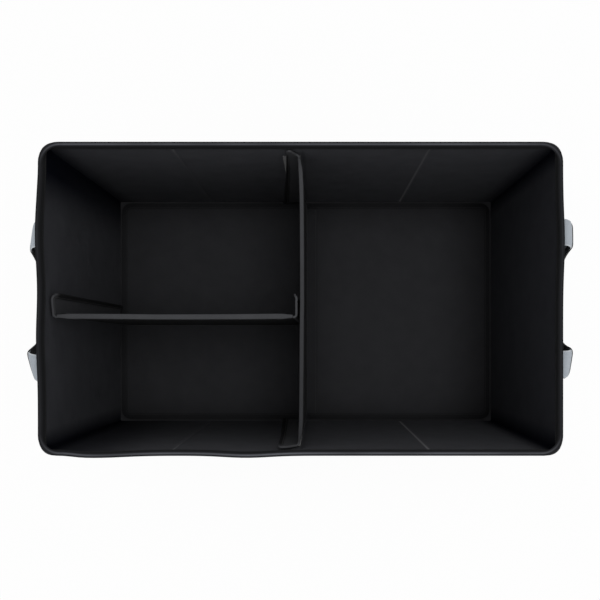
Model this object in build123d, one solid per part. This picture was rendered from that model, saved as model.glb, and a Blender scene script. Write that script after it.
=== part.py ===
"""Fold-flat boot organiser: an open fabric box with stiffened walls, three compartments and carry handles.

+Z is up, +X runs along the long side and +Y points to the back wall. The origin is the middle of the
bottom, on the ground. Every size is in millimetres.

Each wall is a sandwich of outer fabric, stiffener boards and lining, closed at the top by a binding tape.
The long walls hold four boards each, so that they can crease at the quarter points and in the middle.
Two dividers stand on a loose two-leaf base board and are held to the walls by hook-and-loop tabs.
"""

from math import acos, asin, cos, degrees, radians, sin, tan
import os

from build123d import *

os.makedirs("parts", exist_ok=True)

# ---- The fabric box ---------------------------------------------------------------------------------------
length = 600.0  # outside, along X
width = 358.0  # outside, along Y
height = 300.0  # ground to the top edge of the fabric
rim_corner_radius = 22.0  # outside of the corner seams at the rim
foot_corner_radius = 6.0  # the same at the ground

fabric_thickness = 0.8  # of the outer fabric and of the lining
wall_board = 2.4
bottom_fabric = 1.0
board_edge_margin = 5.0  # fabric past a board's top and bottom edge
board_corner_margin = 2.0  # fabric between a board and the corner seam
fold_gap = 8.0  # between two boards, where a long wall creases

binding_tape = 0.9
rim_binding_depth = 10.0
foot_binding_depth = 8.0

# ---- The base board ---------------------------------------------------------------------------------------
base_gap = 2.5  # round the base board, to the narrowest place of the mouth
base_board = 3.4
base_skin = 0.8
base_binding_tape = 0.7
base_binding_depth = 9.0
base_fold_clearance = 0.8  # between the two leaves
base_hinge_tape = 0.6
base_hinge_tape_width = 30.0

# ---- The dividers and their tabs --------------------------------------------------------------------------
divider_drop = 23.4  # from the rim down to a divider's top edge
divider_board = 3.0
divider_skin = 0.8
divider_binding_tape = 0.6
divider_binding_depth = 9.0
short_divider_y = -20.0  # centre plane of the short divider

tab_fabric = 1.6
tab_neck_radius = 5.0
tab_flat_width = 14.0
tab_curl_radius = 12.0
tab_curl_angle = 48.0
hook_tape = 1.2
loop_tape = 1.0
hook_tape_width = 12.0
loop_tape_width = 20.0
tape_end_margin = 14.0  # from a tab's top and bottom edge to its hook tape

# ---- The carry handles ------------------------------------------------------------------------------------
strap_width = 32.0
strap_thickness = 1.6
handle_spacing = 156.0  # between the middles of a handle's two legs
strap_bend_radius = 8.0  # where a leg folds over, away from the wall
strap_bend_drop = 21.0  # from the rim down to the middle of that bend, which is the hinge line
leg_length = 72.0  # sewn to the wall, below the bend
loop_splay = 40.0  # degrees that the loop's two sides lean inwards
loop_shoulder_radius = 22.0  # where each side starts to lean
loop_run = 20.0  # straight part of each side
loop_lean = 3.0  # degrees towards the wall, from the bend down
grip_drop = 12.0  # from the hinge line down to the ends of the grip
grip_fabric = 1.8
grip_overlap = 2.0  # the grip is wider than the strap by this much, at each edge
grip_end_radius = 4.0

running_gap = 0.3  # between pieces that move past each other

# ---- Sizes that follow ------------------------------------------------------------------------------------
wall = wall_board + 2 * fabric_thickness
inner_x = length / 2 - wall
inner_y = width / 2 - wall

base_corner_radius = max(rim_corner_radius - wall - binding_tape - base_gap, 1.0)
base_low = bottom_fabric + running_gap
base_thickness = base_board + 2 * base_skin + 2 * base_binding_tape
base_top = base_low + base_thickness

divider_thickness = divider_board + 2 * divider_skin
divider_low = base_top + base_hinge_tape + running_gap
divider_top = height - divider_drop
divider_reach = divider_thickness / 2 + divider_binding_tape  # from its centre plane to its binding's outside

tab_bound = tab_fabric + 2 * divider_binding_tape  # thickness at a tab's bound edges
tab_stack = loop_tape + running_gap + hook_tape + tab_fabric / 2 + tab_neck_radius  # wall to a tab's hinge
tab_curl_length = radians(tab_curl_angle) * tab_curl_radius
cross_hinge_y = inner_y - tab_stack
short_hinge_left = -inner_x + tab_stack
short_hinge_right = -divider_thickness / 2 - tab_stack
tab_middle = tab_neck_radius + tab_flat_width / 2  # from a tab's hinge to the middle of its tapes

strap_x = length / 2 + strap_thickness / 2  # middle of the strap where it lies on the wall
strap_bend_z = height - strap_bend_drop
splay = radians(loop_splay)
lowest_arc_reach = handle_spacing / 2 - loop_shoulder_radius * (1 - cos(splay)) - loop_run * sin(splay)
lowest_arc_radius = lowest_arc_reach / cos(splay)

base_fold_x = divider_reach + base_fold_clearance
base_half_x = inner_x - binding_tape - base_gap
base_half_y = inner_y - binding_tape - base_gap


# ---- Helpers ----------------------------------------------------------------------------------------------
def save(name, *shapes):
    """Writes one node, made of one or more separate solids."""
    solids = [solid for shape in shapes for solid in shape.solids()]
    node = solids[0] if len(solids) == 1 else Compound(solids)
    export_step(node, f"parts/{name}.step")


def box(x_range, y_range, z_range):
    """An upright block between two values on each axis."""
    sizes = [abs(high - low) for low, high in (x_range, y_range, z_range)]
    middles = [(high + low) / 2 for low, high in (x_range, y_range, z_range)]
    return Pos(*middles) * Box(*sizes)


def corner_radius(z):
    """The corner seams are tight at the ground and open out towards the rim."""
    return foot_corner_radius + (rim_corner_radius - foot_corner_radius) * z / height


def block(inset, low, high):
    """A solid with the box's outline, taken in by inset, between two heights."""

    def outline(z):
        radius = max(corner_radius(z) - inset, 0.5)
        sketch = RectangleRounded(length - 2 * inset, width - 2 * inset, radius)
        return (Pos(0, 0, z) * sketch).face()

    return loft([outline(low), outline(high)], ruled=True)


# ---- The fabric box ---------------------------------------------------------------------------------------
def wall_panel(size, plane, place):
    """A flat layer of a wall of that size, between its two corner seams. place puts it at its depth."""

    def half(z):
        return size / 2 - corner_radius(z)

    low, high = bottom_fabric, height
    corners = [(-half(low), low), (half(low), low), (half(high), high), (-half(high), high)]
    outline = make_face(Polyline(*corners, close=True))
    return place * extrude(plane * outline, fabric_thickness / 2, both=True)


def corner_shell(outer_inset, inner_inset):
    """A layer of the corner at +X and +Y: the part of a cone that touches both walls along their seams."""
    slope = (rim_corner_radius - foot_corner_radius) / height
    apex = Vector(length / 2, width / 2, -foot_corner_radius / slope)
    axis = Vector(-slope, -slope, 1).normalized()
    to_seam = Vector(1, 0, 0) + axis * -axis.X
    half_angle = asin(-axis.X)
    turn = degrees(acos(-(axis.X**2) / (1 - axis.X**2)))

    def radius(along, inset):
        return along * tan(half_angle) - inset / cos(half_angle)

    low = -apex.Z * 0.97
    high = (height - apex.Z) * 1.03
    corners = [(radius(z, inset), z) for z, inset in ((low, outer_inset), (high, outer_inset))]
    corners += [(radius(z, inset), z) for z, inset in ((high, inner_inset), (low, inner_inset))]
    profile = make_face(Polyline(*corners, close=True))
    shell = revolve(Plane(apex, x_dir=to_seam, z_dir=to_seam.cross(axis)) * profile, Axis(apex, axis), turn)
    return shell & box((0, length), (0, width), (bottom_fabric, height))


def fabric_layer(outer_inset, suffix, corner_name):
    """Saves one layer of fabric: a panel on each of the four walls, and the corners between them."""
    middle = outer_inset + fabric_thickness / 2
    for side, sign in {"front": -1, "back": 1}.items():
        place = Pos(0, sign * (width / 2 - middle), 0)
        save(f"{side}_{suffix}", wall_panel(length, Plane.XZ, place))
    for side, sign in {"left": -1, "right": 1}.items():
        place = Pos(sign * (length / 2 - middle), 0, 0)
        save(f"{side}_{suffix}", wall_panel(width, Plane.YZ, place))
    corner = corner_shell(outer_inset, outer_inset + fabric_thickness)
    back = [corner, mirror(corner, about=Plane.YZ)]
    save(corner_name, *back, *[mirror(shape, about=Plane.XZ) for shape in back])


def wall_boards():
    """Four boards in each long wall, with a gap at each crease, and one board in each end wall."""
    low = bottom_fabric + board_edge_margin
    high = height - board_edge_margin
    end_x = length / 2 - rim_corner_radius - board_corner_margin
    end_y = width / 2 - rim_corner_radius - board_corner_margin
    depth = (fabric_thickness, fabric_thickness + wall_board)
    creases = [-length / 4, 0, length / 4]
    starts = [-end_x] + [crease + fold_gap / 2 for crease in creases]
    ends = [crease - fold_gap / 2 for crease in creases] + [end_x]
    places = ["left_outer", "left_inner", "right_inner", "right_outer"]
    for side, sign in {"back": 1, "front": -1}.items():
        across = [sign * (width / 2 - inset) for inset in depth]
        for place, start, end in zip(places, starts, ends):
            save(f"{side}_board_{place}", box((start, end), across, (low, high)))
    for side, sign in {"left": -1, "right": 1}.items():
        across = [sign * (length / 2 - inset) for inset in depth]
        save(f"{side}_end_board", box(across, (-end_y, end_y), (low, high)))


def bindings():
    """The tape folded over the rim, and the tape round the bottom seam."""
    low = height - rim_binding_depth
    cap = height + binding_tape
    tape = block(-binding_tape, low, cap) - block(wall + binding_tape, low, cap)
    edge = block(0, low, height) - block(wall, low, height)
    save("rim_binding", tape - edge)
    save("bottom_binding", block(-binding_tape, 0, foot_binding_depth) - block(0, 0, foot_binding_depth))


def wall_loop_tapes():
    """Loop tape sewn to the lining wherever a divider's tab is pressed on."""
    z_range = (divider_low + tape_end_margin, divider_top - tape_end_margin)
    across = (-tab_middle - loop_tape_width / 2, -tab_middle + loop_tape_width / 2)
    for side, sign in {"back": 1, "front": -1}.items():
        save(f"{side}_loop_tape", box(across, (sign * inner_y, sign * (inner_y - loop_tape)), z_range))
    middle = short_divider_y + tab_middle
    along = (middle - loop_tape_width / 2, middle + loop_tape_width / 2)
    save("left_loop_tape", box((-inner_x, -inner_x + loop_tape), along, z_range))


# ---- The base board ---------------------------------------------------------------------------------------
def base_leaves():
    """Two bound boards that lie side by side and fold up along a line beside the cross divider."""

    def plate(inset, low, high):
        size_x = 2 * (base_half_x - inset)
        size_y = 2 * (base_half_y - inset)
        sketch = RectangleRounded(size_x, size_y, max(base_corner_radius - inset, 1.0))
        return extrude(Pos(0, 0, low) * sketch, high - low)

    lower_face = base_low + base_binding_tape
    board_low = lower_face + base_skin
    board_high = board_low + base_board
    upper_face = board_high + base_skin
    tape = base_binding_tape
    body = plate(tape, lower_face, upper_face)
    ring = plate(0, base_low, base_top) - plate(base_binding_depth, base_low, base_top) - body
    layers = {
        "board": [plate(tape, board_low, board_high)],
        "cover": [plate(tape, lower_face, board_low), plate(tape, board_high, upper_face)],
        "binding": [ring],
    }
    half_gap = base_fold_clearance / 2
    leaves = {"left": (-length, base_fold_x - half_gap), "right": (base_fold_x + half_gap, length)}
    for side, x_range in leaves.items():
        leaf = box(x_range, (-width, width), (0, height))
        for layer, shapes in layers.items():
            save(f"{side}_base_{layer}", *[shape & leaf for shape in shapes])


def base_hinge():
    """A strip of fabric across the fold, on top of the two leaves."""
    across = (base_fold_x - base_hinge_tape_width / 2, base_fold_x + base_hinge_tape_width / 2)
    along = base_half_y - base_binding_depth
    save("base_hinge_tape", box(across, (-along, along), (base_top, base_top + base_hinge_tape)))


# ---- The dividers -----------------------------------------------------------------------------------------
def divider(name, start, end, place):
    """A bound, fabric-covered board along its own X axis, standing on the base."""
    low = divider_low + divider_binding_tape
    high = divider_top - divider_binding_tape
    half_board = divider_board / 2
    half = divider_thickness / 2
    along = (start, end)
    body = box(along, (-half, half), (low, high))
    tape = box(along, (-divider_reach, divider_reach), (divider_low, divider_top))
    window = box(
        along,
        (-divider_reach, divider_reach),
        (divider_low + divider_binding_depth, divider_top - divider_binding_depth),
    )
    faces = [box(along, (sign * half_board, sign * half), (low, high)) for sign in (-1, 1)]
    save(f"{name}_board", place * box(along, (-half_board, half_board), (low, high)))
    save(f"{name}_cover", *[place * face for face in faces])
    save(f"{name}_binding", place * (tape - window - body))


def tab_profile(thickness, short_by):
    """A tab's outline from above: a round root, a neck, a flat run along the wall and a curled free edge.

    The hinge is at the origin, the divider comes from -Y and the wall lies on the +Y side.
    """
    neck = JernArc((0, 0), (0, 1), tab_neck_radius, 90)
    flat = Line(neck @ 1, (neck @ 1) + Vector(-tab_flat_width, 0))
    curl_angle = tab_curl_angle * (1 - short_by / tab_curl_length)
    curl = JernArc(flat @ 1, (-1, 0), tab_curl_radius, curl_angle)
    return trace(Wire([neck, flat, curl]), line_width=thickness) + Circle(thickness / 2)


def tab(name, place):
    """A flexible tab with its bound edges and the hook tape on its wall side."""
    low = divider_low
    high = divider_top
    tape = divider_binding_tape

    def upright(thickness, short_by, z_low, z_high):
        return extrude(Pos(0, 0, z_low) * tab_profile(thickness, short_by), z_high - z_low)

    flap = upright(tab_fabric, tape, low + tape, high - tape)
    edging = upright(tab_bound, 0, low, high)
    depth = divider_binding_depth
    window = upright(tab_bound, depth, low + depth, high - depth)
    face = tab_neck_radius + tab_fabric / 2
    across = (-tab_middle - hook_tape_width / 2, -tab_middle + hook_tape_width / 2)
    hooks = box(across, (face, face + hook_tape), (low + tape_end_margin, high - tape_end_margin))
    save(f"{name}_flap", place(flap))
    save(f"{name}_edging", place(edging - window - flap))
    save(f"{name}_hook_tape", place(hooks))


def dividers():
    """The cross divider, from wall to wall, and the short divider between it and the left wall."""
    seam = tab_bound / 2 + running_gap
    divider("cross", -cross_hinge_y + seam, cross_hinge_y - seam, Rot(0, 0, 90))
    divider("short", short_hinge_left + seam, short_hinge_right - seam, Pos(0, short_divider_y, 0))
    middle = short_divider_y + tab_middle
    face = -divider_thickness / 2
    save(
        "cross_loop_tape",
        box(
            (face - loop_tape, face),
            (middle - loop_tape_width / 2, middle + loop_tape_width / 2),
            (divider_low + tape_end_margin, divider_top - tape_end_margin),
        ),
    )
    at_back = Pos(0, cross_hinge_y, 0)
    to_right = Rot(0, 0, -90)
    tab("cross_back_tab", lambda shape: at_back * shape)
    tab("cross_front_tab", lambda shape: mirror(at_back * shape, about=Plane.XZ))
    tab("short_right_tab", lambda shape: Pos(short_hinge_right, short_divider_y, 0) * (to_right * shape))
    tab(
        "short_left_tab",
        lambda shape: Pos(short_hinge_left, short_divider_y, 0) * mirror(to_right * shape, about=Plane.YZ),
    )


# ---- The carry handles ------------------------------------------------------------------------------------
def strap_pair(side_profile):
    """Extrudes a side view of the right-hand strap, drawn in X and Z, to its width at both legs."""
    leg = extrude(Plane.XZ * side_profile, strap_width / 2, both=True)
    return [Pos(0, side * handle_spacing / 2, 0) * leg for side in (-1, 1)]


def handle_legs():
    """The two sewn ends of the right-hand strap, flat against the wall."""
    low = (strap_x, strap_bend_z - leg_length)
    high = (strap_x, strap_bend_z)
    return strap_pair(trace(Line(low, high), line_width=strap_thickness))


def handle_bends():
    """The two places where the right-hand strap folds over, away from the wall."""
    fold = JernArc((strap_x, strap_bend_z), (0, 1), strap_bend_radius, -180)
    return strap_pair(trace(fold, line_width=strap_thickness))


def loop_outline(band_width):
    """The loop seen from the end of the box: a band that leans inwards on both sides of one wide arc."""
    half = handle_spacing / 2
    top = strap_bend_z - running_gap
    shoulder = JernArc((-half, top), (0, -1), loop_shoulder_radius, loop_splay)
    run = Line(shoulder @ 1, (shoulder @ 1) + (shoulder % 1) * loop_run)
    lowest = JernArc(run @ 1, run % 1, lowest_arc_radius, 2 * (90 - loop_splay))
    far_run = Line(lowest @ 1, (lowest @ 1) + (lowest % 1) * loop_run)
    far_shoulder = JernArc(far_run @ 1, far_run % 1, loop_shoulder_radius, loop_splay)
    return trace(Wire([shoulder, run, lowest, far_run, far_shoulder]), line_width=band_width)


def hanging_sheet(thickness):
    """The plane that the right-hand loop hangs in, as a sheet as wide as the box."""
    top = Vector(strap_x + 2 * strap_bend_radius, strap_bend_z)
    down = Vector(-sin(radians(loop_lean)), -cos(radians(loop_lean)))
    outline = trace(Line(top, top + down * height), line_width=thickness)
    return extrude(Plane.XZ * outline, width / 2, both=True)


def handle_loop():
    """The free part of the right-hand strap, and the fabric grip wrapped round it below the bends."""
    strap = extrude(Plane.YZ * loop_outline(strap_width), length) & hanging_sheet(strap_thickness)
    band = extrude(Plane.YZ * loop_outline(strap_width + 2 * grip_overlap), length)
    below = box((0, length), (-width, width), (0, strap_bend_z - grip_drop))
    sleeve = band & below & hanging_sheet(strap_thickness + 2 * grip_fabric)
    sleeve = fillet(sleeve.edges().filter_by(Axis.X), grip_end_radius)
    return strap, sleeve - strap


def handles():
    """Both carry handles. The left one mirrors the right one."""
    strap, sleeve = handle_loop()
    pieces = {"legs": handle_legs(), "bends": handle_bends(), "loop": [strap], "grip": [sleeve]}
    for name, solids in pieces.items():
        save(f"right_handle_{name}", *solids)
        save(f"left_handle_{name}", *[mirror(solid, about=Plane.YZ) for solid in solids])


save("bottom_panel", block(0, 0, bottom_fabric))
fabric_layer(0, "outer_panel", "corner_gussets")
fabric_layer(wall - fabric_thickness, "lining", "lining_corners")
wall_boards()
bindings()
wall_loop_tapes()
base_leaves()
base_hinge()
dividers()
handles()
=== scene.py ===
"""Looks of the fold-flat boot organiser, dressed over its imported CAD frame.

Metres, in the frame's own axes: +Z up, +X along the long side, +Y to the back wall.

Most pieces are made flat, in three coordinates (u, v, w): u and v lie in the cloth and w goes through it.
A warp then puts each flat point where it belongs: round the walls, along a curled tab, over a strap's fold.
"""

from functools import partial
from math import copysign, cos, exp, hypot, pi, radians, sin, tan

import bpy
import numpy as np
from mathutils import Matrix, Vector, noise


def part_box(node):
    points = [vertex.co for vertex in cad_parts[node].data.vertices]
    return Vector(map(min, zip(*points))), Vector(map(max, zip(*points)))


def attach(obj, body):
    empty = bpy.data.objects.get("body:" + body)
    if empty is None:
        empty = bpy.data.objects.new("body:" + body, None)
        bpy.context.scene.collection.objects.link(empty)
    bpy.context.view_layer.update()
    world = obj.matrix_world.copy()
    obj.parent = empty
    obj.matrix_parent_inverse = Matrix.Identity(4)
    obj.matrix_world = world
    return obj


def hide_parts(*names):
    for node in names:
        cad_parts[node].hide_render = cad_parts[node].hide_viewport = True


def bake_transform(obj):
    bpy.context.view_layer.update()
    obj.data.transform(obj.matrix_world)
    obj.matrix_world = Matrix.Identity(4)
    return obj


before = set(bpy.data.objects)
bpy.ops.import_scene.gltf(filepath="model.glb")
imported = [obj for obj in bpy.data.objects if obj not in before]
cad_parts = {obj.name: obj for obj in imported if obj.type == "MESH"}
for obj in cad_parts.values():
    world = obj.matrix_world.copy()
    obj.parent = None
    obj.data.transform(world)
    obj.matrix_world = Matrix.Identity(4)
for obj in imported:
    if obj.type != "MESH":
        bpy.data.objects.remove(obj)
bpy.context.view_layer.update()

# ---- Sizes that the solids share ----
fabric = 0.0008
wall = 0.0040
binding_tape = 0.0009
rim_binding_depth = 0.010
foot_binding_depth = 0.008
board_edge_margin = 0.005
fold_gap = 0.008
rim_radius = 0.022
foot_radius = 0.006
base_corner = 0.0139
base_tape = 0.0007
divider_tape = 0.0006
strap_thickness = 0.0016
strap_width = 0.032
strap_bend_radius = 0.008
handle_spacing = 0.156


def corners(node):
    """A node's lowest and highest corners."""
    return [Vector(corner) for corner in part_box(node)]


rim_high = corners("rim_binding")[1]
half_length = rim_high.x - binding_tape
half_width = rim_high.y - binding_tape
height = rim_high.z - binding_tape
creases = (-half_length / 2, 0.0, half_length / 2)


# ---- Shares and places ----
def held(value):
    """A value kept between 0 and 1."""
    return min(max(value, 0.0), 1.0)


def eased(value):
    """The same, with a soft start and end."""
    share = held(value)
    return share * share * (3 - 2 * share)


def peak(distance, spread):
    """1 at no distance, falling off like a bell."""
    return exp(-((distance / spread) ** 2))


def unevenness(x, y, z, size):
    """Smooth noise from 0 to 1, whose hills are about size across."""
    return 0.5 + 0.5 * noise.noise(Vector((x, y, z)) / size)


def steps(start, end, size):
    """Values from start to end, at most size apart."""
    count = max(int(np.ceil(abs(end - start) / size - 1e-6)), 1)
    return [start + (end - start) * k / count for k in range(count + 1)]


def lengths(points):
    """How far along a line of points each one is."""
    gaps = np.linalg.norm(np.diff(points, axis=0), axis=1)
    return np.concatenate([[0.0], np.cumsum(gaps)])


def unit(vector):
    """The same way, one long."""
    return vector / (np.linalg.norm(vector) or 1.0)


def interpolate(at, distance, points):
    """The point at a distance along a line of points."""
    return np.array([np.interp(at, distance, column) for column in points.T])


# ---- Meshes ----
def add_object(name, data):
    """A new object in the scene."""
    obj = bpy.data.objects.new(name, data)
    bpy.context.scene.collection.objects.link(obj)
    return obj


def add_mesh(name, points, faces, cloth, flat=(), marks=None):
    """A mesh whose corners carry cloth, their place in the flat cloth, for the weave to follow.

    marks gives, from 0 to 1, the wear and painted highlight and the painted shade of each of the flat points."""
    mesh = bpy.data.meshes.new(name)
    mesh.from_pydata([tuple(point) for point in points], [], faces)
    spots = [(u, v, 0.0) for face in cloth for u, v in face]
    mesh.attributes.new("cloth", "FLOAT_VECTOR", "CORNER").data.foreach_set(
        "vector", np.array(spots, np.float32).ravel()
    )
    if marks is not None:
        for label, values in zip(("worn", "painted_shade"), zip(*(marks(*point) for point in flat))):
            mark = mesh.attributes.new(label, "FLOAT", "POINT")
            mark.data.foreach_set("value", np.array(values, np.float32))
    mesh.shade_smooth()
    mesh.set_sharp_from_angle(angle=radians(50))
    return add_object(name, mesh)


def slab(name, us, vs, low, high, warp, closed=False, marks=None):
    """A layer between w = low and w = high over a grid of u and v, with rounded edges."""
    edge = (high - low) / 2
    inner_vs = [vs[0] + edge, *vs[1:-1], vs[-1] - edge]
    inner_us = us if closed else [us[0] + edge, *us[1:-1], us[-1] - edge]
    count_u, count_v = len(us), len(vs)
    flat = [(u, v, w) for w in (high, low) for u in inner_us for v in inner_vs]
    layer = count_u * count_v
    columns = range(count_u if closed else count_u - 1)
    if closed:
        rims = [[(i, j) for i in range(count_u)] for j in (0, count_v - 1)]
    else:
        rim = [(i, 0) for i in range(count_u)] + [(count_u - 1, j) for j in range(1, count_v)]
        rim += [(i, count_v - 1) for i in range(count_u - 2, -1, -1)]
        rims = [rim + [(0, j) for j in range(count_v - 2, 0, -1)]]
    for rim in rims:
        flat += [(us[i], vs[j], (low + high) / 2) for i, j in rim]
    points = np.array([warp(*point) for point in flat])

    grid = points[:layer].reshape(count_u, count_v, 3)
    row = grid[:, count_v // 2]
    along = lengths(np.vstack([row, row[:1]]) if closed else row)
    across = lengths(grid[count_u // 2])
    faces, cloth = [], []
    for i in columns:
        for j in range(count_v - 1):
            spots = [(i, j), (i + 1, j), (i + 1, j + 1), (i, j + 1)]
            quad = [a % count_u * count_v + b for a, b in spots]
            patch = [(along[a], across[b]) for a, b in spots]
            faces += [quad, [layer + k for k in reversed(quad)]]
            cloth += [patch, patch[::-1]]
    start = 2 * layer
    for side, rim in enumerate(rims):
        for k, (i, j) in enumerate(rim):
            m = (k + 1) % len(rim)
            next_i, next_j = rim[m]
            near = (along[i], across[j])
            far = (along[count_u if closed and m == 0 else next_i], across[next_j])
            top, next_top = i * count_v + j, next_i * count_v + next_j
            middle, next_middle = start + k, start + m
            upper = [top, middle, next_middle, next_top]
            lower = [middle, layer + top, layer + next_top, next_middle]
            order = -1 if side == 1 else 1
            faces += [upper[::order], lower[::order]]
            cloth += [[near, near, far, far][::order]] * 2
        start += len(rim)
    return add_mesh(name, points, faces, cloth, flat, marks)


def sweep(name, stations, contour, warp, closed=False, marks=None):
    """A contour of (outward, w) points carried along stations (u, v, outward u, outward v)."""
    flat = [(u + du * c, v + dv * c, w) for u, v, du, dv in stations for c, w in contour]
    points = np.array([warp(*point) for point in flat])
    rows, size = len(stations), len(contour)
    line = points.reshape(rows, size, 3).mean(axis=1)
    along = lengths(np.vstack([line, line[:1]]) if closed else line)
    across = lengths(np.array([*contour, contour[0]]))
    faces, cloth = [], []
    for i in range(rows if closed else rows - 1):
        for j in range(size):
            spots = [(i, j), (i, j + 1), (i + 1, j + 1), (i + 1, j)]
            faces.append([a % rows * size + b % size for a, b in spots])
            cloth.append([(along[a], across[b]) for a, b in spots])
    if not closed:
        for first, order in ((0, -1), ((rows - 1) * size, 1)):
            faces.append([first + k for k in range(size)][::order])
            cloth.append(contour[::order])
    return add_mesh(name, points, faces, cloth, flat, marks)


def stitches(name, rows, pitch=0.0034, length=0.0024, radius=0.00030):
    """Rows of stitches, a little sunk in. A row is (warp, flat points on the cloth's face, way out in w)."""
    lift = 0.0005  # to find the way out of the cloth
    sunk = 0.4
    thickest = 0.9
    points, faces, cloth = [], [], []
    for warp, line, outward in rows:
        base = np.array([warp(*point) for point in line])
        raised = np.array([warp(u, v, w + lift * outward) for u, v, w in line])
        distance = lengths(base)
        count = max(int(distance[-1] / pitch), 1)
        for k in range(count):
            middle = (k + 0.5) * pitch
            spots = middle - length / 2, middle, middle + length / 2
            start, centre, end = (interpolate(spot, distance, base) for spot in spots)
            normal = unit(interpolate(middle, distance, raised) - centre)
            beside = np.cross(normal, unit(end - start))
            first = len(points)
            ring = [beside * cos(angle) + normal * sin(angle) for angle in np.arange(6) * pi / 3]
            points.append(start - normal * radius * sunk)
            for share in (0.28, 0.72):
                points += [start * (1 - share) + end * share + way * radius * thickest for way in ring]
            points.append(end - normal * radius * sunk)
            for side in range(6):
                near, far = first + 1 + side, first + 1 + (side + 1) % 6
                faces += [[first, far, near], [near, far, far + 6, near + 6], [near + 6, far + 6, first + 13]]
                cloth += [[(0, 0)] * 3, [(0, 0)] * 4, [(0, 0)] * 3]
    return add_mesh(name, points, faces, cloth)


def tape_contour(half_gap, depth, tape, puff=0.0002):
    """A tape folded over an edge at 0, seen from its end, with both legs drawn in where they are sewn."""
    outer = half_gap + tape
    swells = [puff * (sin(pi * k / 8) - 0.6 * peak(k - 1.6, 1)) for k in range(8)]
    leg = [(-depth * (1 - k / 8), outer + swell) for k, swell in enumerate(swells)]
    fold = [(tape * cos(a), outer * sin(a)) for a in map(radians, (90, 70, 50, 34, 20, 8))]
    half = leg + fold
    back = [(c, -w) for c, w in reversed(half)]
    inner = [(-depth, -half_gap), (0.0, -half_gap), (0.0, half_gap), (-depth, half_gap)]
    return half + back + inner


def three_sides(u_open, u_far, v_low, v_high, radius, size=0.006):
    """Stations round three sides of a rectangle, from its open side at u_open and back to it."""
    way = 1 if u_far > u_open else -1
    turn_u = u_far - way * radius

    def corner(v, angles):
        ways = [(way * cos(angle), sin(angle)) for angle in map(radians, angles)]
        return [(turn_u + radius * du, v + radius * dv, du, dv) for du, dv in ways]

    return [
        *((u, v_low, 0, -1) for u in steps(u_open, turn_u, size)),
        *corner(v_low + radius, range(-75, 0, 15)),
        *((u_far, v, way, 0) for v in steps(v_low + radius, v_high - radius, size)),
        *corner(v_high - radius, range(15, 90, 15)),
        *((u, v_high, 0, 1) for u in steps(turn_u, u_open, size)),
    ]


# ---- Materials ----
# The colours that painted shade darkens the cloth towards, where less light falls.
blue_painted_shade = (0.0018, 0.0024, 0.0060)
dark_painted_shade = (0.0025, 0.0025, 0.0032)
white = (1, 1, 1, 1)


def set_inputs(tree, node, inputs):
    """Gives a shader node's inputs a value each, or links them to outputs."""
    for key, value in inputs.items():
        if isinstance(value, bpy.types.NodeSocket):
            tree.links.new(value, node.inputs[key])
        else:
            node.inputs[key].default_value = value


def add_node(tree, kind, inputs={}, **settings):
    """A new shader node."""
    made = tree.nodes.new(kind)
    for key, value in settings.items():
        setattr(made, key, value)
    set_inputs(tree, made, inputs)
    return made


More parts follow.
